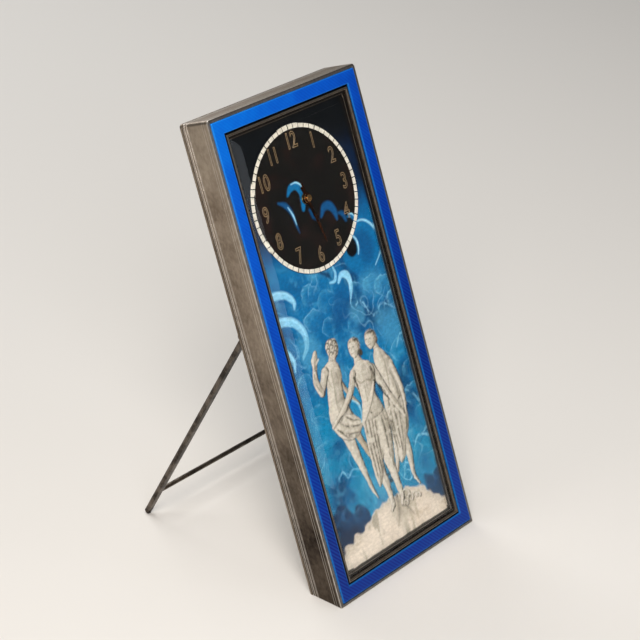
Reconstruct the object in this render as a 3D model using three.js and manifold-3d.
// Leaning strut clock in silver with an enamelled front, millimetres.
//
// The whole case is modelled upright in its own group: x runs across the face, y runs
// from the face towards the back and z runs up the face. That group then leans back, so
// the cut base lies flat on the ground plane z = 0. The origin is the middle of the base.

import * as THREE from 'three';
import { ConvexGeometry } from 'three/addons/geometries/ConvexGeometry.js';
import { mergeVertices } from 'three/addons/utils/BufferGeometryUtils.js';
import Module from 'manifold-3d';

const wasm = await Module();
wasm.setup();

// ---------------------------------------------------------------- driving dimensions

// Case
const caseHeight = 160;
const caseWidth = 69;
const leanAngle = THREE.MathUtils.degToRad(19.64);
const caseWall = 1.0;
const caseCorner = 1.2;
const baseWall = 0.7;
const clearance = 0.3;
const smallCorner = 0.4;
const screwPostDepth = 2;

// Front: enamelled border, bezel and bevelled glass
const enamelWidth = 4.2;
const enamelProud = 0.4;
const enamelThickness = 0.6;
const frameThickness = 0.6;
const grooveWidth = 0.7;
const bezelWidth = 0.7;
const bezelProud = 0.35;
const bezelLedge = 1.2;
const bezelLedgeThickness = 0.4;
const glassSink = 0.05;
const glassThickness = 1.1;
const glassBevelWidth = 3.8;
const glassBevelDrop = 0.7;

// Painted plaque and the plate behind it
const plaqueFront = 2.7;
const plaqueThickness = 0.7;
const backingThickness = 0.8;
const dialHeight = 125.3;
const motionRecess = 11.2;

// Hands, set to 28 minutes past five
const minuteHandLength = 15.8;
const hourHandLength = 11.2;
const minuteHandWidth = 1.1;
const hourHandWidth = 1.5;
const minuteHandTail = 5.2;
const hourHandTail = 4.16;
const handThickness = 0.2;
const handNutThickness = 0.25;
const cannonRadius = 1.15;
const hourTubeRadius = 1.8;
const minuteHandAngle = THREE.MathUtils.degToRad(168);
const hourHandAngle = THREE.MathUtils.degToRad(164);

// Movement plates
const mainPlateRadius = 20;
const topPlateRadius = 17.6;
const mainPlateThickness = 0.9;
const topPlateThickness = 0.7;
const pillarRadius = 1.0;
const pillarCircle = 16.4;
const pillarAngles = [60, 155, 265, 342].map(THREE.MathUtils.degToRad);
const movementScrewAngles = [15, 120, 245].map(THREE.MathUtils.degToRad);
const pivotRadius = 0.25;
const trainArborRadius = 0.34;
const arborRadius = 0.5;

// Train: three levels of wheels between the plates
const wheelThickness = 0.5;
const barrelTeeth = 56;
const centrePinionTeeth = 7;
const barrelModule = 0.32;
const centreTeeth = 48;
const thirdPinionTeeth = 6;
const centreModule = 0.26;
const thirdTeeth = 45;
const fourthPinionTeeth = 6;
const thirdModule = 0.24;
const fourthTeeth = 48;
const escapePinionTeeth = 6;
const fourthModule = 0.2;
const escapeTeeth = 15;
const escapeRadius = 3.1;
const escapeToothDepth = 1.0;
const escapeToothLean = 0.35;

// Where the arbors stand, as directions from the wheel that drives them
const barrelAngle = THREE.MathUtils.degToRad(210);
const thirdAngle = THREE.MathUtils.degToRad(60);
const fourthAngle = THREE.MathUtils.degToRad(-10);
const escapeAngle = THREE.MathUtils.degToRad(-80);
const palletAngle = THREE.MathUtils.degToRad(-100);
const minuteWheelAngle = THREE.MathUtils.degToRad(20);

// Shape of the teeth, in modules and in shares of the pitch
const toothRootDepth = 1.2;
const toothTipHeight = 0.85;
const toothRootShare = 0.23;
const toothTipShare = 0.08;
const sawTipShare = 0.12;

// Motion work under the plaque
const cannonTeeth = 10;
const minuteWheelTeeth = 30;
const minutePinionTeeth = 8;
const hourWheelTeeth = 32;
const motionModule = 0.3;
const motionThickness = 0.45;

// Escapement
const balanceRadius = 4.6;
const balanceRimWidth = 0.7;
const balanceArmWidth = 0.8;
const balanceFromDial = new THREE.Vector2(7.2, -10.4);
const cockScrewFromDial = new THREE.Vector2(1.2, -14.2);
const cockFootHalfWidth = 2.2;
const cockFootHalfLength = 1.55;
const cockNeckHalfWidth = 1.3;
const cockTipHalfWidth = 0.8;
const hairspringTurns = 3;
const hairspringRibbon = 0.15;
const hairspringHeight = 0.3;
const rollerRadius = 0.9;
const palletGap = 1.3;
const palletReach = 2.6;
const palletArmTop = [0.35, 0.1];
const palletArmBottom = [-0.4, -0.55];
const leverTail = 0.6;
const leverHalfWidth = [0.5, 0.35];
const regulatorTail = 4.4;
const regulatorHalfWidth = [0.3, 0.2];
const regulatorRing = [0.6, 1.3];
const regulatorThickness = 0.8;

// Winding and setting
const drumOuter = 8.0;
const drumWall = 0.6;
const barrelArborRadius = 0.8;
const ratchetTeeth = 24;
const ratchetRadius = 4.0;
const ratchetToothDepth = 0.6;
const ratchetToothLean = 0.75;
const mainspringTurns = 4;
const mainspringRibbon = 0.3;
const clickFromDial = new THREE.Vector2(-13.2, 3.2);
const clickHubRadius = 1.1;
const clickTail = 0.4;
const clickHalfWidth = [0.7, 0.6, 0.2];
const clickTipGap = 0.15;
const windingDiscRadius = 5.2;
const windingFlutes = 20;
const windingFluteDepth = 0.35;
const windingBarLength = 7.2;
const windingBarWidth = 1.2;
const windingBarHeight = 0.4;
const windingBarProud = 0.3;
const setKnobRadius = 2.6;
const knobHeight = 1.3;

// Back cover and its round door
const coverThickness = 0.8;
const doorRadius = 20.6;
const knuckleRadius = 0.9;
const knuckleLength = 4;
const hingePinRadius = 0.35;
const hingeGap = 1.5;
const hingeLeafReach = 1.6;
const doorLeafThickness = 0.5;
const doorTabThickness = 0.6;
const doorTabHalf = 2.2;
const doorTabReach = 1.8;
const doorLap = 2;
const doorRiserWidth = 1.2;

// Strut
const strutOpening = THREE.MathUtils.degToRad(48);
const strutHingeHeight = 90.4;
const strutHingeHalf = 28.6;
const strutFootHalf = 33;
const strutBarWidth = 2.0;
const strutBarThickness = 1.6;
const strutFootRadius = 1.1;
const strutEyeRadius = 1.5;
const strutEyeWidth = 2.4;
const strutPinRadius = 0.5;
const crossbarShare = 0.88;
const earThickness = 0.9;
const bracketPlateThickness = 0.6;
const bracketPlateLap = 1.5;

// Screws
const screwHeadRadius = 1.1;
const screwShankRadius = 0.5;
const screwHeadHeight = 0.5;
const screwInset = 5;
const coverScrewReach = 1.5;
const cockScrewHeadHeight = 0.4;

// ---------------------------------------------------------------- worked-out values

// Depths behind the face, layer by layer from the glass to the back cover.
const glassFront = glassSink - bezelProud;
const glassBack = glassFront + glassThickness;
const frameFront = enamelThickness - enamelProud + clearance;
const plaqueBack = plaqueFront + plaqueThickness;
const hourHandFront = plaqueFront - clearance - handThickness;
const minuteHandFront = hourHandFront - clearance - handThickness;
const handNutFront = minuteHandFront - clearance - handNutThickness;
const backingFront = plaqueBack + clearance;
const hourLevel = backingFront;
const minuteLevel = hourLevel + motionThickness + clearance;
const mainPlateFront = minuteLevel + motionThickness + clearance;
const mainPlateBack = mainPlateFront + mainPlateThickness;
const levelOne = mainPlateBack + clearance;
const levelTwo = levelOne + wheelThickness + clearance;
const levelThree = levelTwo + wheelThickness + clearance;
const topPlateFront = levelThree + wheelThickness + clearance;
const topPlateBack = topPlateFront + topPlateThickness;
const upperFront = topPlateBack + clearance;
const upperBack = upperFront + wheelThickness;
const knobTop = upperFront + knobHeight;
const coverFront = knobTop + clearance;
const bandDepth = coverFront - clearance;
const caseDepth = coverFront + coverThickness;
const drumInner = drumOuter - drumWall;
const baseDepth = caseDepth / Math.cos(leanAngle);

// Insets from the edge of the face.
const enamelInset = caseWall + clearance;
const enamelInner = enamelInset + enamelWidth;
const bezelInset = enamelInner + grooveWidth;
const glassInset = bezelInset + bezelWidth + clearance;
const plaqueInset = caseWall + 2 * clearance;
const hourModule = motionModule * (minuteWheelTeeth + cannonTeeth) / (hourWheelTeeth + minutePinionTeeth);

// ---------------------------------------------------------------- finishes

const finishes = {
  silver: new THREE.MeshStandardMaterial({ color: 0x8f877d, roughness: 0.4, metalness: 1 }),
  enamel: new THREE.MeshStandardMaterial({ color: 0x0b52c8, roughness: 0.12, metalness: 0 }),
  glass: new THREE.MeshStandardMaterial({
    color: 0xdfe8ea, roughness: 0.03, metalness: 0, transparent: true, opacity: 0.25,
  }),
  painting: new THREE.MeshStandardMaterial({ color: 0x1c5f8f, roughness: 0.3, metalness: 0 }),
  brass: new THREE.MeshStandardMaterial({ color: 0xb08d4a, roughness: 0.3, metalness: 1 }),
  gilt: new THREE.MeshStandardMaterial({ color: 0x8a6a3c, roughness: 0.25, metalness: 1 }),
  steel: new THREE.MeshStandardMaterial({ color: 0x8c9097, roughness: 0.25, metalness: 1 }),
  bluedSteel: new THREE.MeshStandardMaterial({ color: 0x27345c, roughness: 0.2, metalness: 1 }),
};

// ---------------------------------------------------------------- shape helpers

const leaning = new THREE.Group();

function add(name, geometry, finish) {
  const mesh = new THREE.Mesh(geometry, finish);
  mesh.name = name;
  leaning.add(mesh);
  return mesh;
}

function solid(geometry) {
  const bare = geometry.clone();
  bare.deleteAttribute('normal');
  bare.deleteAttribute('uv');
  const merged = mergeVertices(bare, 1e-5);
  return new wasm.Manifold(new wasm.Mesh({
    numProp: 3,
    vertProperties: new Float32Array(merged.attributes.position.array),
    triVerts: new Uint32Array(merged.index.array),
  }));
}

function surface(manifold) {
  const mesh = manifold.getMesh();
  const geometry = new THREE.BufferGeometry();
  geometry.setAttribute('position', new THREE.BufferAttribute(mesh.vertProperties, 3));
  geometry.setIndex(new THREE.BufferAttribute(mesh.triVerts, 1));
  geometry.computeVertexNormals();
  return geometry;
}

function join(...geometries) {
  return surface(geometries.map(solid).reduce((whole, piece) => whole.add(piece)));
}

function cut(geometry, ...tools) {
  return surface(tools.map(solid).reduce((whole, tool) => whole.subtract(tool), solid(geometry)));
}

// A flat shape (x across, y up) made into a plate between two depths.
function plate(shape, front, back, curveSegments = 8) {
  const geometry = new THREE.ExtrudeGeometry(shape, {
    depth: back - front, bevelEnabled: false, curveSegments,
  });
  return geometry.rotateX(Math.PI / 2).translate(0, back, 0);
}

function roundedRectangle(halfWidth, bottom, top, radius, path = new THREE.Shape()) {
  path.moveTo(-halfWidth + radius, bottom);
  path.lineTo(halfWidth - radius, bottom);
  path.absarc(halfWidth - radius, bottom + radius, radius, -Math.PI / 2, 0);
  path.lineTo(halfWidth, top - radius);
  path.absarc(halfWidth - radius, top - radius, radius, 0, Math.PI / 2);
  path.lineTo(-halfWidth + radius, top);
  path.absarc(-halfWidth + radius, top - radius, radius, Math.PI / 2, Math.PI);
  path.lineTo(-halfWidth, bottom + radius);
  path.absarc(-halfWidth + radius, bottom + radius, radius, Math.PI, 1.5 * Math.PI);
  return path;
}

// The outline of the case face, taken in by an inset on all four sides.
function faceOutline(inset, radius, path) {
  return roundedRectangle(caseWidth / 2 - inset, inset, caseHeight - inset, radius, path);
}

// A flat frame that follows the edge of the face between two insets.
function faceRing(outerInset, innerInset, front, back) {
  const shape = faceOutline(outerInset, smallCorner);
  shape.holes.push(faceOutline(innerInset, smallCorner, new THREE.Path()));
  return plate(shape, front, back, 3);
}

function circleHole(x, z, radius) {
  const hole = new THREE.Path();
  hole.absarc(x, z, radius, 0, 2 * Math.PI, true);
  return hole;
}

function disc(x, z, radius) {
  const shape = new THREE.Shape();
  shape.absarc(x, z, radius, 0, 2 * Math.PI, false);
  return shape;
}

// A turned piece about an axis that runs front to back; steps are [radius, depth] pairs.
function turned(x, z, steps, segments = 10) {
  const profile = steps.map(([radius, depth]) => new THREE.Vector2(radius, depth));
  return new THREE.LatheGeometry(profile, segments).translate(x, 0, z);
}

function rod(x, z, radius, front, back, segments = 10) {
  return turned(x, z, [[0, front], [radius, front], [radius, back], [0, back]], segments);
}

function tube(x, z, inner, outer, front, back, segments = 12) {
  const loop = [[inner, front], [outer, front], [outer, back], [inner, back], [inner, front]];
  return turned(x, z, loop, segments);
}

// A round bar along x.
function crossRod(y, z, radius, fromX, toX, segments = 10) {
  const geometry = new THREE.CylinderGeometry(radius, radius, toX - fromX, segments);
  return geometry.rotateZ(Math.PI / 2).translate((fromX + toX) / 2, y, z);
}

// A round bar along z.
function uprightRod(x, y, radius, fromZ, toZ, segments = 10) {
  const geometry = new THREE.CylinderGeometry(radius, radius, toZ - fromZ, segments);
  return geometry.rotateX(Math.PI / 2).translate(x, y, (fromZ + toZ) / 2);
}

function block(fromX, toX, fromY, toY, fromZ, toZ) {
  const geometry = new THREE.BoxGeometry(toX - fromX, toY - fromY, toZ - fromZ);
  return geometry.translate((fromX + toX) / 2, (fromY + toY) / 2, (fromZ + toZ) / 2);
}

// ---------------------------------------------------------------- gear helpers

const pitchRadius = (teeth, module) => teeth * module / 2;
const meshDistance = (wheel, pinion, module) => pitchRadius(wheel + pinion, module);
const polar = (angle, distance) => new THREE.Vector2(Math.cos(angle), Math.sin(angle))
  .multiplyScalar(distance);

// A gear outline with one tooth pointing along `toothAngle`.
function gearShape(centre, teeth, module, toothAngle) {
  const pitch = 2 * Math.PI / teeth;
  const root = pitchRadius(teeth, module) - toothRootDepth * module;
  const tip = pitchRadius(teeth, module) + toothTipHeight * module;
  const shape = new THREE.Shape();
  for (let tooth = 0; tooth < teeth; tooth += 1) {
    const middle = toothAngle + tooth * pitch;
    const corners = [
      [-toothRootShare, root], [-toothTipShare, tip], [toothTipShare, tip], [toothRootShare, root],
    ];
    corners.forEach(([share, radius], corner) => {
      const point = polar(middle + share * pitch, radius).add(centre);
      if (tooth === 0 && corner === 0) {
        shape.moveTo(point.x, point.y);
      } else {
        shape.lineTo(point.x, point.y);
      }
    });
  }
  return shape;
}

// A wheel with a round hole at its hub.
function wheel(centre, teeth, module, front, toothAngle, bore, thickness = wheelThickness) {
  const shape = gearShape(centre, teeth, module, toothAngle);
  shape.holes.push(circleHole(centre.x, centre.y, bore));
  return plate(shape, front, front + thickness, 5);
}

function pinion(centre, teeth, module, front, toothAngle, thickness = wheelThickness) {
  return plate(gearShape(centre, teeth, module, toothAngle), front, front + thickness);
}

// An arbor with its leaf pinion, pivoted in both plates.
function arbor(centre, teeth, module, pinionFront, toothAngle) {
  const front = mainPlateBack + clearance;
  const back = topPlateFront - clearance;
  const shaft = turned(centre.x, centre.y, [
    [0, mainPlateFront + clearance], [pivotRadius, mainPlateFront + clearance],
    [pivotRadius, front], [trainArborRadius, front], [trainArborRadius, back],
    [pivotRadius, back], [pivotRadius, topPlateBack - clearance], [0, topPlateBack - clearance],
  ]);
  return join(shaft, pinion(centre, teeth, module, pinionFront, toothAngle));
}

// ---------------------------------------------------------------- arbor centres

const dialCentre = new THREE.Vector2(0, dialHeight);
const barrelCentre = polar(barrelAngle, meshDistance(barrelTeeth, centrePinionTeeth, barrelModule))
  .add(dialCentre);
const thirdCentre = polar(thirdAngle, meshDistance(centreTeeth, thirdPinionTeeth, centreModule))
  .add(dialCentre);
const fourthCentre = polar(fourthAngle, meshDistance(thirdTeeth, fourthPinionTeeth, thirdModule))
  .add(thirdCentre);
const escapeCentre = polar(escapeAngle, meshDistance(fourthTeeth, escapePinionTeeth, fourthModule))
  .add(fourthCentre);
const palletCentre = polar(palletAngle, escapeRadius + palletGap).add(escapeCentre);
const balanceCentre = balanceFromDial.clone().add(dialCentre);
const clickCentre = clickFromDial.clone().add(dialCentre);
const cockScrewCentre = cockScrewFromDial.clone().add(dialCentre);
const minuteWheelCentre = polar(
  minuteWheelAngle, meshDistance(minuteWheelTeeth, cannonTeeth, motionModule)).add(dialCentre);

// The tooth angle of a pinion whose gap meets a tooth that points along `angle`.
const facingGap = (angle, teeth) => angle + Math.PI + Math.PI / teeth;

// ---------------------------------------------------------------- case and front

// Height of the ground plane, raised by `lift`, at a depth behind the face.
const groundAt = (depth, lift = 0) => depth * Math.tan(leanAngle) + lift;
const clearOfBase = (depth) => groundAt(depth, baseWall + clearance);

// Everything below the ground plane, raised by `lift`.
function belowGround(lift = 0) {
  const before = -caseWidth;
  const behind = 2 * caseWidth;
  const profile = new THREE.Shape([
    new THREE.Vector2(before, groundAt(before, lift)),
    new THREE.Vector2(before, -caseHeight),
    new THREE.Vector2(behind, -caseHeight),
    new THREE.Vector2(behind, groundAt(behind, lift)),
  ]);
  const length = 2 * caseWidth;
  const wedge = new THREE.ExtrudeGeometry(profile, { depth: length, bevelEnabled: false });
  return wedge.rotateX(Math.PI / 2).rotateZ(Math.PI / 2).translate(-length / 2, 0, 0);
}

const screwPosts = [-1, 1].flatMap((side) => [-1, 1].map((end) => ({
  name: `cover_screw_${end > 0 ? 'top' : 'bottom'}_${side > 0 ? 'right' : 'left'}`,
  x: side * (caseWidth / 2 - screwInset),
  z: end > 0 ? caseHeight - screwInset : clearOfBase(bandDepth) + screwInset,
})));

function caseBody() {
  const outer = plate(faceOutline(0, caseCorner), 0, bandDepth, 3);
  const cavity = plate(faceOutline(caseWall, caseCorner / 2), -clearance, caseDepth, 3);
  const hollow = cut(cavity, belowGround(baseWall));
  const frontRelief = block(
    -caseWidth / 2 + caseWall, caseWidth / 2 - caseWall,
    -clearance, frameFront + frameThickness + clearance / 2, caseWall, 2 * caseWall);
  const posts = screwPosts.map(({ x, z }) => block(
    x - screwHeadRadius, x + screwHeadRadius, bandDepth - screwPostDepth, bandDepth,
    z - screwHeadRadius, z + screwHeadRadius));
  const shoulders = screwPosts.map(({ x, z }) => block(
    Math.min(x, Math.sign(x) * (caseWidth / 2 - caseWall / 2)),
    Math.max(x, Math.sign(x) * (caseWidth / 2 - caseWall / 2)),
    bandDepth - screwPostDepth, bandDepth, z - screwHeadRadius, z + screwHeadRadius));
  const holes = screwPosts.map(({ x, z }) => rod(
    x, z, screwShankRadius + clearance, bandDepth - 1.5 * screwPostDepth, bandDepth + 1));
  const shell = cut(outer, hollow, frontRelief, belowGround());
  return cut(join(shell, ...posts, ...shoulders), ...holes);
}

// A pane whose front falls away in a sloped border all round.
function bevelledGlass() {
  const corner = (inset, depth) => [-1, 1].flatMap((side) => [inset, caseHeight - inset]
    .map((z) => new THREE.Vector3(side * (caseWidth / 2 - inset), depth, z)));
  return new ConvexGeometry([
    ...corner(glassInset, glassBack),
    ...corner(glassInset, glassFront + glassBevelDrop),
    ...corner(glassInset + glassBevelWidth, glassFront),
  ]);
}

// Drills listed as [centre, radius, sides], right through a plate.
function drilled(geometry, front, back, holes) {
  const drills = holes.map(([centre, radius, sides = 8]) => rod(
    centre.x, centre.y, radius, front - 1, back + 1, sides));
  return cut(geometry, ...drills);
}

// A plate that fits inside the case walls and above the base wall.
function innerPlate(front, back, holes) {
  const shape = roundedRectangle(
    caseWidth / 2 - plaqueInset, clearOfBase(back), caseHeight - plaqueInset, smallCorner);
  return drilled(plate(shape, front, back, 3), front, back, holes);
}

add('case_body', caseBody(), finishes.silver);
add('front_frame', faceRing(
  enamelInset, bezelInset - clearance, frameFront, frameFront + frameThickness), finishes.silver);
add('enamel_border', faceRing(
  enamelInset, enamelInner, -enamelProud, enamelThickness - enamelProud), finishes.enamel);
const ledgeFront = glassBack + clearance;
const ledgeBack = ledgeFront + bezelLedgeThickness;
add('glass_bezel', join(
  faceRing(bezelInset, bezelInset + bezelWidth, -bezelProud, ledgeBack),
  faceRing(bezelInset + bezelWidth / 2, bezelInset + bezelWidth + bezelLedge, ledgeFront, ledgeBack),
), finishes.silver);
add('bevelled_glass', bevelledGlass(), finishes.glass);
add('painted_plaque', innerPlate(
  plaqueFront, plaqueBack, [[dialCentre, hourTubeRadius + clearance, 20]]), finishes.painting);

// ---------------------------------------------------------------- movement plates

const movementScrews = movementScrewAngles.map((angle, index) => ({
  name: `movement_screw_${index + 1}`,
  at: polar(angle, (mainPlateRadius + topPlateRadius) / 2).add(dialCentre),
}));
const trainCentres = [thirdCentre, fourthCentre, escapeCentre];

const pivots = (centres) => centres.map((centre) => [centre, pivotRadius + clearance]);
const movementHoles = movementScrews.map(({ at }) => [at, screwShankRadius + clearance]);

add('backing_plate', innerPlate(
  backingFront, backingFront + backingThickness,
  [[dialCentre, motionRecess, 40], ...movementHoles]), finishes.brass);

// A round plate about the dial centre with holes drilled through it.
function pierced(radius, front, back, holes) {
  return drilled(plate(disc(0, dialHeight, radius), front, back, 20), front, back, holes);
}

add('main_plate', pierced(mainPlateRadius, mainPlateFront, mainPlateBack, [
  [dialCentre, arborRadius + clearance], ...movementHoles,
  ...pivots([barrelCentre, ...trainCentres, palletCentre, balanceCentre]),
]), finishes.brass);
add('top_plate', pierced(topPlateRadius, topPlateFront, topPlateBack, [
  [dialCentre, arborRadius + clearance], [barrelCentre, barrelArborRadius + clearance],
  [cockScrewCentre, screwShankRadius + clearance], ...pivots([...trainCentres, palletCentre]),
  [balanceCentre, balanceRadius + 2 * clearance, 28],
]), finishes.brass);
pillarAngles.forEach((angle, index) => {
  const { x, y } = polar(angle, pillarCircle).add(dialCentre);
  const front = mainPlateBack + clearance;
  add(`pillar_${index + 1}`, rod(x, y, pillarRadius, front, topPlateFront - clearance), finishes.brass);
});

// A cheese-headed screw that points towards the face.
function screw(x, z, headFront, tip, headHeight = screwHeadHeight) {
  return turned(x, z, [
    [0, tip], [screwShankRadius, tip], [screwShankRadius, headFront],
    [screwHeadRadius, headFront], [screwHeadRadius, headFront + headHeight],
    [0, headFront + headHeight],
  ]);
}

movementScrews.forEach(({ name, at }) => {
  add(name, screw(at.x, at.y, mainPlateBack + clearance, backingFront), finishes.steel);
});

// ---------------------------------------------------------------- hands and motion work

// A slim hand with a round hub; its length lies along `angle`, clockwise from twelve.
function hand(length, tail, width, hub, bore, front, angle) {
  const half = width / 2;
  const blade = new THREE.Shape([
    new THREE.Vector2(-half * 0.7, -tail), new THREE.Vector2(half * 0.7, -tail),
    new THREE.Vector2(half * 0.5, 0), new THREE.Vector2(half, length * 0.55),
    new THREE.Vector2(half * 0.25, length), new THREE.Vector2(-half * 0.25, length),
    new THREE.Vector2(-half, length * 0.55), new THREE.Vector2(-half * 0.5, 0),
  ]);
  const back = front + handThickness;
  const blank = join(plate(blade, front, back), rod(0, 0, hub, front, back, 16));
  return cut(blank, rod(0, 0, bore, front - 1, back + 1)).rotateY(angle).translate(0, 0, dialHeight);
}

add('hour_hand', hand(
  hourHandLength, hourHandTail, hourHandWidth, cannonRadius + 2.5 * clearance, cannonRadius + clearance,
  hourHandFront, hourHandAngle), finishes.gilt);
add('minute_hand', hand(
  minuteHandLength, minuteHandTail, minuteHandWidth, arborRadius + 3 * clearance, arborRadius + clearance,
  minuteHandFront, minuteHandAngle), finishes.gilt);
add('hand_nut', rod(
  0, dialHeight, arborRadius + 2 * clearance, handNutFront, handNutFront + handNutThickness, 16),
finishes.gilt);

add('cannon_pinion', join(
  cut(
    pinion(dialCentre, cannonTeeth, motionModule, minuteLevel,
      facingGap(minuteWheelAngle + Math.PI, cannonTeeth), motionThickness),
    rod(0, dialHeight, arborRadius + clearance, 0, caseDepth)),
  tube(0, dialHeight, arborRadius + clearance, cannonRadius,
    minuteHandFront + handThickness + clearance, minuteLevel + motionThickness / 2),
), finishes.steel);
add('hour_wheel', join(
  wheel(dialCentre, hourWheelTeeth, hourModule, hourLevel,
    minuteWheelAngle, cannonRadius + clearance, motionThickness),
  tube(0, dialHeight, cannonRadius + clearance, hourTubeRadius,
    plaqueFront, hourLevel + motionThickness / 2),
), finishes.brass);
add('minute_wheel', cut(
  join(
    wheel(minuteWheelCentre, minuteWheelTeeth, motionModule, minuteLevel,
      minuteWheelAngle + Math.PI, arborRadius, motionThickness),
    pinion(minuteWheelCentre, minutePinionTeeth, hourModule, hourLevel,
      facingGap(minuteWheelAngle, minutePinionTeeth), motionThickness + clearance + motionThickness / 4)),
  rod(minuteWheelCentre.x, minuteWheelCentre.y, pivotRadius + clearance, 0, caseDepth),
), finishes.brass);
add('minute_wheel_post', rod(
  minuteWheelCentre.x, minuteWheelCentre.y, pivotRadius, hourLevel, mainPlateFront - clearance,
), finishes.steel);

// ---------------------------------------------------------------- barrel and winding

function barrelDrum() {
  const great = wheel(barrelCentre, barrelTeeth, barrelModule, levelOne,
    barrelAngle + Math.PI, barrelArborRadius + clearance);
  const { x, y } = barrelCentre;
  const top = levelTwo + wheelThickness;
  return join(great, tube(x, y, drumInner, drumOuter, levelOne + wheelThickness / 2, top, 28));
}

// A flat ribbon wound from an inner to an outer radius, as one closed strip.
function spiral(centre, inner, outer, turns, ribbon, front, back) {
  const steps = 12 * turns;
  const along = (offset) => Array.from({ length: steps + 1 }, (_, step) => {
    const share = step / steps;
    return polar(2 * Math.PI * turns * share, inner + (outer - inner) * share + offset).add(centre);
  });
  return plate(new THREE.Shape([...along(ribbon / 2), ...along(-ribbon / 2).reverse()]), front, back);
}

// A wheel with leaning saw teeth, for a ratchet or an escape wheel.
function sawWheel(centre, teeth, root, tip, lean, bore, front) {
  const pitch = 2 * Math.PI / teeth;
  const points = Array.from({ length: teeth }, (_, tooth) => {
    const start = tooth * pitch;
    return [
      polar(start, root).add(centre),
      polar(start + lean * pitch, tip).add(centre),
      polar(start + (lean + sawTipShare) * pitch, tip).add(centre),
    ];
  }).flat();
  const shape = new THREE.Shape(points);
  shape.holes.push(circleHole(centre.x, centre.y, bore));
  return plate(shape, front, front + wheelThickness, 5);
}

add('barrel', barrelDrum(), finishes.brass);
add('mainspring', spiral(
  barrelCentre, barrelArborRadius + 2 * clearance, drumInner - clearance, mainspringTurns, mainspringRibbon,
  levelTwo, levelTwo + wheelThickness), finishes.bluedSteel);
add('barrel_arbor', turned(barrelCentre.x, barrelCentre.y, [
  [0, mainPlateFront + clearance], [pivotRadius, mainPlateFront + clearance],
  [pivotRadius, levelOne], [barrelArborRadius, levelOne],
  [barrelArborRadius, upperBack], [0, upperBack],
]), finishes.steel);
add('ratchet_wheel', sawWheel(
  barrelCentre, ratchetTeeth, ratchetRadius - ratchetToothDepth, ratchetRadius, ratchetToothLean,
  barrelArborRadius + clearance, upperFront), finishes.steel);

// A fluted disc with a raised bar across it for the fingers.
function windingDisc() {
  const points = Array.from({ length: 2 * windingFlutes }, (_, step) => polar(
    Math.PI * step / windingFlutes, windingDiscRadius - (step % 2) * windingFluteDepth)
    .add(barrelCentre));
  const front = upperBack + clearance;
  const { x, y } = barrelCentre;
  const bar = block(
    x - windingBarLength / 2, x + windingBarLength / 2, knobTop - windingBarHeight, knobTop,
    y - windingBarWidth / 2, y + windingBarWidth / 2);
  return join(plate(new THREE.Shape(points), front, knobTop - windingBarProud), bar);
}

add('winding_disc', windingDisc(), finishes.steel);

// The pawl that lies against the ratchet wheel, bored for its screw.
function clickPawl() {
  const towards = new THREE.Vector2().subVectors(barrelCentre, clickCentre).normalize();
  const across = new THREE.Vector2(-towards.y, towards.x);
  const at = (forward, side) => clickCentre.clone()
    .addScaledVector(towards, forward).addScaledVector(across, side);
  const reach = clickCentre.distanceTo(barrelCentre) - ratchetRadius - clickTipGap;
  const [rootHalf, middleHalf, tipHalf] = clickHalfWidth;
  const arm = new THREE.Shape([
    at(-clickTail, -rootHalf), at(reach * 0.7, -middleHalf), at(reach, -tipHalf),
    at(reach, tipHalf), at(-clickTail, rootHalf),
  ]);
  const front = upperFront;
  const back = front + wheelThickness;
  const { x, y } = clickCentre;
  const blank = join(plate(arm, front, back), rod(x, y, clickHubRadius, front, back, 14));
  return cut(blank, rod(x, y, screwShankRadius + clearance, 0, caseDepth));
}

add('click', clickPawl(), finishes.steel);
add('click_screw', screw(
  clickCentre.x, clickCentre.y, upperBack + clearance, upperFront,
  knobTop - upperFront - wheelThickness - clearance), finishes.bluedSteel);

// ---------------------------------------------------------------- going train

add('centre_arbor', join(
  rod(0, dialHeight, arborRadius, minuteHandFront + handThickness / 4, upperBack),
  pinion(dialCentre, centrePinionTeeth, barrelModule, levelOne,
    facingGap(barrelAngle + Math.PI, centrePinionTeeth)),
), finishes.steel);
add('centre_wheel', wheel(
  dialCentre, centreTeeth, centreModule, levelThree, thirdAngle, arborRadius + clearance),
finishes.brass);
add('third_arbor', arbor(
  thirdCentre, thirdPinionTeeth, centreModule, levelThree, facingGap(thirdAngle, thirdPinionTeeth)),
finishes.steel);
add('third_wheel', wheel(
  thirdCentre, thirdTeeth, thirdModule, levelTwo, fourthAngle, trainArborRadius + clearance),
finishes.brass);
add('fourth_arbor', arbor(
  fourthCentre, fourthPinionTeeth, thirdModule, levelTwo,
  facingGap(fourthAngle, fourthPinionTeeth)), finishes.steel);
add('fourth_wheel', wheel(
  fourthCentre, fourthTeeth, fourthModule, levelOne, escapeAngle, trainArborRadius + clearance),
finishes.brass);
add('escape_arbor', arbor(
  escapeCentre, escapePinionTeeth, fourthModule, levelOne,
  facingGap(escapeAngle, escapePinionTeeth)), finishes.steel);
add('escape_wheel', sawWheel(
  escapeCentre, escapeTeeth, escapeRadius - escapeToothDepth, escapeRadius, escapeToothLean,
  trainArborRadius + clearance, levelTwo), finishes.steel);

// ---------------------------------------------------------------- escapement

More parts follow.
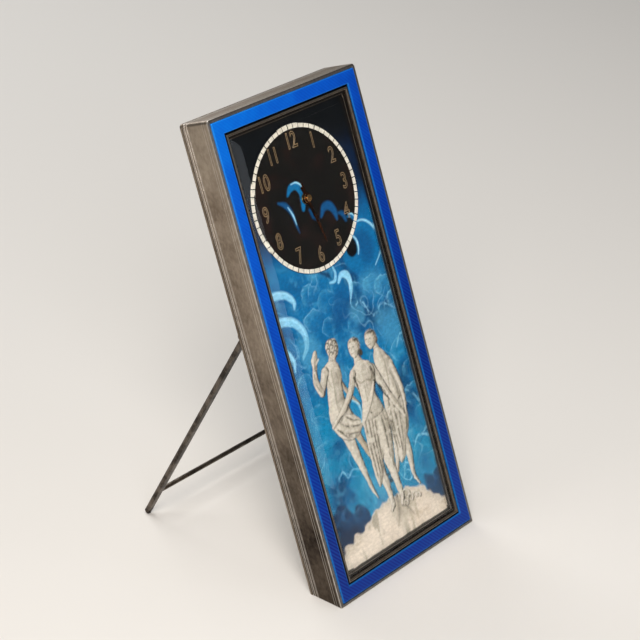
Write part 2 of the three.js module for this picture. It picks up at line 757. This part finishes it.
// The lever: two pallet arms round the escape wheel and a fork towards the balance.
function palletLever() {
  const towardsBalance = new THREE.Vector2().subVectors(balanceCentre, palletCentre);
  const forkReach = towardsBalance.length() - rollerRadius - clearance;
  const forward = towardsBalance.normalize();
  const across = new THREE.Vector2(-forward.y, forward.x);
  const at = (ahead, side) => palletCentre.clone()
    .addScaledVector(forward, ahead).addScaledVector(across, side);
  const [rootHalf, forkHalf] = leverHalfWidth;
  const lever = new THREE.Shape([
    at(-leverTail, -rootHalf), at(forkReach, -forkHalf), at(forkReach, forkHalf),
    at(-leverTail, rootHalf),
  ]);
  const arm = (turn) => {
    const armAngle = palletAngle + Math.PI / 2;
    const reach = palletReach * turn;
    const corner = (along, out) => palletCentre.clone()
      .add(polar(armAngle, along)).add(polar(palletAngle + Math.PI, out));
    return new THREE.Shape([
      corner(0, palletArmBottom[0]), corner(0, palletArmTop[0]),
      corner(reach, palletArmTop[1]), corner(reach, palletArmBottom[1]),
    ]);
  };
  const front = levelTwo;
  const back = levelTwo + wheelThickness;
  const shaft = turned(palletCentre.x, palletCentre.y, [
    [0, mainPlateFront + clearance], [pivotRadius, mainPlateFront + clearance],
    [pivotRadius, topPlateBack - clearance], [0, topPlateBack - clearance],
  ]);
  return join(shaft, plate(lever, front, back), plate(arm(1), front, back), plate(arm(-1), front, back));
}

add('pallet_lever', palletLever(), finishes.steel);

// A plain rim with one straight arm across it.
function balanceWheel() {
  const { x, y } = balanceCentre;
  const front = levelThree;
  const back = levelThree + wheelThickness;
  const inner = balanceRadius - balanceRimWidth;
  const rim = tube(x, y, inner, balanceRadius, front, back, 28);
  const armHalf = inner + balanceRimWidth / 3;
  const arm = block(
    x - armHalf, x + armHalf, front, back, y - balanceArmWidth / 2, y + balanceArmWidth / 2);
  const hub = rod(x, y, 3 * pivotRadius, front, back);
  return cut(join(rim, arm, hub), rod(x, y, pivotRadius + clearance, 0, caseDepth));
}

add('balance_wheel', balanceWheel(), finishes.brass);
add('balance_staff', turned(balanceCentre.x, balanceCentre.y, [
  [0, mainPlateFront + clearance], [pivotRadius, mainPlateFront + clearance],
  [pivotRadius, levelTwo], [rollerRadius, levelTwo], [rollerRadius, levelTwo + wheelThickness],
  [pivotRadius, levelTwo + wheelThickness], [pivotRadius, upperFront + clearance],
  [0, upperFront + clearance],
]), finishes.steel);
add('hairspring', spiral(
  balanceCentre, pivotRadius + clearance, balanceRadius - 1, hairspringTurns, hairspringRibbon,
  topPlateFront + clearance / 3, topPlateFront + clearance / 3 + hairspringHeight),
finishes.bluedSteel);

// The bridge that carries the back pivot of the balance.
function balanceCock() {
  const { x, y } = balanceCentre;
  const foot = cockScrewCentre;
  const along = new THREE.Vector2(foot.x - x, foot.y - y).normalize();
  const across = new THREE.Vector2(-along.y, along.x);
  const at = (origin, ahead, side) => origin.clone()
    .addScaledVector(along, ahead).addScaledVector(across, side);
  const half = [
    [balanceCentre, -1.5 * cockTipHalfWidth, cockTipHalfWidth], [balanceCentre, 0, cockNeckHalfWidth],
    [foot, -cockFootHalfLength, cockFootHalfWidth], [foot, cockFootHalfLength, cockFootHalfWidth],
  ];
  const outline = new THREE.Shape([
    ...half.map(([origin, ahead, side]) => at(origin, ahead, -side)),
    ...half.map(([origin, ahead, side]) => at(origin, ahead, side)).reverse(),
  ]);
  return drilled(plate(outline, upperFront, upperBack), upperFront, upperBack, [
    [balanceCentre, pivotRadius + clearance], [foot, screwShankRadius + clearance],
  ]);
}

add('balance_cock', balanceCock(), finishes.brass);
add('cock_screw', screw(
  cockScrewCentre.x, cockScrewCentre.y, upperBack + clearance, topPlateFront,
  cockScrewHeadHeight), finishes.bluedSteel);

// A ring about the balance pivot with a pointer hanging from it.
function regulator() {
  const { x, y } = balanceCentre;
  const front = upperBack + clearance;
  const back = front + regulatorThickness;
  const [inner, outer] = regulatorRing;
  const [rootHalf, tipHalf] = regulatorHalfWidth;
  const pointer = new THREE.Shape([
    new THREE.Vector2(x - rootHalf, y - inner), new THREE.Vector2(x + rootHalf, y - inner),
    new THREE.Vector2(x + tipHalf, y - regulatorTail), new THREE.Vector2(x - tipHalf, y - regulatorTail),
  ]);
  const ring = tube(x, y, inner, outer, front, back);
  const bore = rod(x, y, inner, front - 1, back + 1, 12);
  return cut(join(ring, plate(pointer, front, back)), bore);
}

add('regulator', regulator(), finishes.steel);

// ---------------------------------------------------------------- setting knob

add('setting_knob', turned(0, dialHeight, [
  [0, upperBack + clearance], [arborRadius + clearance, upperBack + clearance],
  [arborRadius + clearance, upperFront], [setKnobRadius, upperFront],
  [setKnobRadius, knobTop], [0, knobTop],
], 20), finishes.brass);

// ---------------------------------------------------------------- back cover and door

const doorAxis = { x: -doorRadius - hingeGap, y: caseDepth + clearance + knuckleRadius };
const knuckles = { door: [-0.5, 0.5], lower: [-1.5, -0.5], upper: [0.5, 1.5] };

// A hinge knuckle with a leaf that reaches from `leafX` to the knuckle.
function knuckle([from, to], leafX, leafFront) {
  const start = dialHeight + from * knuckleLength + clearance / 2;
  const end = dialHeight + to * knuckleLength - clearance / 2;
  const barrelPiece = uprightRod(doorAxis.x, doorAxis.y, knuckleRadius, start, end, 14);
  const leaf = block(
    Math.min(doorAxis.x, leafX), Math.max(doorAxis.x, leafX),
    leafFront, doorAxis.y, start, end);
  return join(barrelPiece, leaf);
}

const pinBore = () => uprightRod(
  doorAxis.x, doorAxis.y, hingePinRadius + clearance / 2,
  dialHeight - 2 * knuckleLength, dialHeight + 2 * knuckleLength);

// The sheet that closes the back, with two hinge knuckles and a round doorway.
function backCover() {
  const sheet = plate(faceOutline(0, caseCorner), coverFront, caseDepth, 3);
  const holes = screwPosts.map(({ x, z }) => [
    new THREE.Vector2(x, z), screwShankRadius + clearance, 8]);
  const pierced = drilled(
    sheet, coverFront, caseDepth, [[dialCentre, doorRadius + clearance, 48], ...holes]);
  const trimmed = cut(pierced, belowGround());
  const leafX = doorAxis.x - hingeLeafReach;
  const leafFront = caseDepth - coverThickness / 2;
  return cut(
    join(trimmed, knuckle(knuckles.lower, leafX, leafFront), knuckle(knuckles.upper, leafX, leafFront)),
    pinBore());
}

// The round door with its hinge leaf and the tab it is opened by.
function backDoor() {
  const sheet = plate(disc(0, dialHeight, doorRadius), coverFront, caseDepth, 24);
  const outside = caseDepth + clearance;
  const rooted = caseDepth - coverThickness / 2;
  const leafHalf = knuckleLength / 2 - clearance / 2;
  const inner = doorRadius - doorLap;
  const strip = (fromX, toX, front, back, half) => block(
    fromX, toX, front, back, dialHeight - half, dialHeight + half);
  const leafBack = outside + doorLeafThickness;
  const leaf = strip(doorAxis.x, -inner, outside, leafBack, leafHalf);
  const leafRiser = strip(-inner - doorRiserWidth, -inner, rooted, leafBack, leafHalf);
  const barrelPiece = uprightRod(
    doorAxis.x, doorAxis.y, knuckleRadius, dialHeight - leafHalf, dialHeight + leafHalf, 14);
  const tab = strip(inner, doorRadius + doorTabReach, outside, outside + doorTabThickness, doorTabHalf);
  const tabRiser = strip(
    inner, inner + doorRiserWidth, rooted, outside + doorTabThickness / 2, doorTabHalf);
  return cut(join(sheet, leaf, leafRiser, barrelPiece, tab, tabRiser), pinBore());
}

add('back_cover', backCover(), finishes.silver);
add('back_door', backDoor(), finishes.silver);
add('door_hinge_pin', uprightRod(
  doorAxis.x, doorAxis.y, hingePinRadius,
  dialHeight - 1.5 * knuckleLength, dialHeight + 1.5 * knuckleLength), finishes.steel);
screwPosts.forEach(({ name, x, z }) => {
  add(name, screw(x, z, caseDepth + clearance, bandDepth - coverScrewReach), finishes.silver);
});

// ---------------------------------------------------------------- strut

const bracketBack = caseDepth + clearance + bracketPlateThickness;
const strutAxisDepth = bracketBack + clearance + strutEyeRadius;
const strutAxisRise = strutHingeHeight * Math.cos(leanAngle) - strutAxisDepth * Math.sin(leanAngle);
const strutLength = (strutAxisRise - strutFootRadius) / Math.cos(strutOpening - leanAngle);
const strutSplay = Math.atan((strutFootHalf - strutHingeHalf) / strutLength);

// Swings a piece made hanging straight down from the strut's axis to where the strut stands.
function openStrut(geometry) {
  return geometry.rotateX(strutOpening).translate(0, strutAxisDepth, strutHingeHeight);
}

// One splayed leg with its eye at the top and a rounded foot.
function strutLeg(side) {
  const barLength = strutLength / Math.cos(strutSplay);
  const bar = new THREE.BoxGeometry(strutBarWidth, strutBarThickness, barLength);
  bar.translate(0, 0, -barLength / 2).rotateY(-side * strutSplay)
    .translate(side * strutHingeHalf, 0, 0);
  const foot = new THREE.SphereGeometry(strutFootRadius, 10, 6)
    .translate(side * strutFootHalf, 0, -strutLength);
  const middle = side * strutHingeHalf;
  const eye = crossRod(0, 0, strutEyeRadius, middle - strutEyeWidth / 2, middle + strutEyeWidth / 2, 14);
  const bore = crossRod(0, 0, strutPinRadius + clearance, middle - strutEyeWidth, middle + strutEyeWidth);
  return openStrut(cut(join(bar, foot, eye), bore));
}

function strutCrossbar() {
  const drop = strutLength * crossbarShare;
  const centreHalf = strutHingeHalf + (strutFootHalf - strutHingeHalf) * crossbarShare;
  const half = centreHalf - strutBarWidth / 2 / Math.cos(strutSplay) - clearance;
  return openStrut(crossRod(0, -drop, strutBarThickness / 2, -half, half, 10));
}

// A fixed plate with two ears that hold the pin of one leg.
function strutBracket(side) {
  const middle = side * strutHingeHalf;
  const innerHalf = strutEyeWidth / 2 + clearance;
  const outerHalf = innerHalf + earThickness;
  const low = strutHingeHeight - strutEyeRadius;
  const high = strutHingeHeight + strutEyeRadius;
  const foot = block(
    middle - outerHalf, middle + outerHalf, caseDepth + clearance, bracketBack,
    low - bracketPlateLap, high + bracketPlateLap);
  const ears = [-1, 1].map((end) => {
    const near = middle + end * innerHalf;
    const far = middle + end * outerHalf;
    return join(
      block(
        Math.min(near, far), Math.max(near, far),
        bracketBack - bracketPlateThickness / 2, strutAxisDepth, low, high),
      crossRod(
        strutAxisDepth, strutHingeHeight, strutEyeRadius, Math.min(near, far), Math.max(near, far)));
  });
  const bore = crossRod(
    strutAxisDepth, strutHingeHeight, strutPinRadius + clearance,
    middle - 2 * outerHalf, middle + 2 * outerHalf);
  return cut(join(foot, ...ears), bore);
}

[['left', -1], ['right', 1]].forEach(([word, side]) => {
  const middle = side * strutHingeHalf;
  const pinHalf = strutEyeWidth / 2 + clearance + earThickness;
  add(`strut_leg_${word}`, strutLeg(side), finishes.silver);
  add(`strut_bracket_${word}`, strutBracket(side), finishes.silver);
  add(`strut_pin_${word}`, crossRod(
    strutAxisDepth, strutHingeHeight, strutPinRadius, middle - pinHalf, middle + pinHalf),
  finishes.steel);
});
add('strut_crossbar', strutCrossbar(), finishes.silver);

// ---------------------------------------------------------------- assembly

leaning.rotation.x = -leanAngle;
leaning.position.y = -baseDepth / 2;

const clock = new THREE.Group();
clock.add(leaning);

export default clock;
